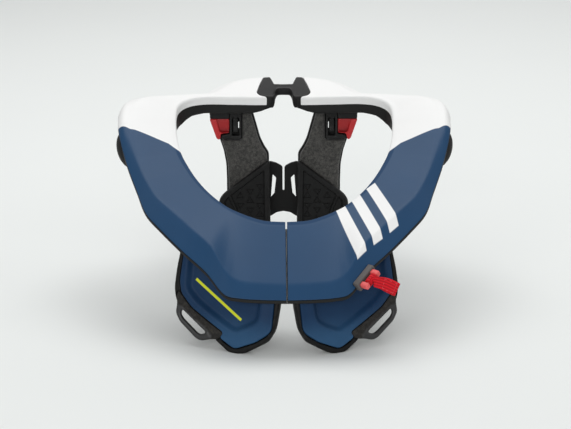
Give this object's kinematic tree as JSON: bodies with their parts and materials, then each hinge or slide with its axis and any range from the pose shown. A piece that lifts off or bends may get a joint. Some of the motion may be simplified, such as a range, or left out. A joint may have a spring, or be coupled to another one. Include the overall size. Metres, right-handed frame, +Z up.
{
  "type": "neck brace",
  "caption": "Rider's neck brace: a padded ring collar that opens at the front about a rear hinge, on chest pads and back struts, with a pull-tab latch.",
  "frame": {"origin": "middle of the part's outer box, on the surface that it stands on, under the neck opening", "axes": "+X to the wearer's left, across the part's mirror plane; +Y to the wearer's rear, towards the hinge; +Z up"},
  "size_m": [0.285, 0.2994, 0.1595],
  "materials": {
    "collar_cover": "satin moulded shell, blue ahead and white behind",
    "black_foam": "fine-grained black foam",
    "black_moulding": "fine-textured black moulding",
    "grey_felt": "mottled dark felt",
    "red_moulding": "satin red moulding",
    "navy_moulding": "satin navy moulding",
    "black_gloss": "smooth black moulding",
    "grey_moulding": "satin grey moulding",
    "salmon_moulding": "satin salmon red moulding",
    "red_webbing": "woven polyester webbing"
  },
  "bodies": {
    "right_half": {"right_collar_shell": "collar_cover", "right_collar_base": "black_foam", "right_shoulder_pad": "black_foam", "right_link_lobe": "black_moulding", "right_strut": "black_moulding", "right_strut_pad": "grey_felt", "right_adjuster_clip": "black_moulding", "right_adjuster_wedge": "red_moulding", "right_back_pad": "black_moulding", "right_link_plate": "black_moulding", "right_chest_rim": "black_moulding", "right_chest_shell": "navy_moulding", "right_strap_loop": "black_gloss"},
    "left_half": {"left_collar_shell": "collar_cover", "left_collar_base": "black_foam", "left_shoulder_pad": "black_foam", "left_link_lobe": "black_moulding", "left_strut": "black_moulding", "left_strut_pad": "grey_felt", "left_adjuster_clip": "black_moulding", "left_adjuster_wedge": "red_moulding", "left_back_pad": "black_moulding", "left_link_plate": "black_moulding", "left_chest_rim": "black_moulding", "left_chest_shell": "navy_moulding", "left_strap_loop": "black_gloss", "latch_housing": "grey_moulding"},
    "latch_pull": {"latch_slider": "salmon_moulding", "pull_tab": "red_webbing"}
  },
  "joints": [
    {"name": "opening_hinge", "type": "hinge", "parent": "right_half", "child": "left_half", "pos_m": [0, 0.11314, 0.15], "axis": [0, 0, 1], "range_deg": [0, 40]},
    {"name": "latch_slide", "type": "slide", "parent": "left_half", "child": "latch_pull", "axis": [0.6979, -0.7162, 0], "range_m": [0, 0.004], "stiffness_N_per_m": 400, "springref_m": -0.005}
  ]
}
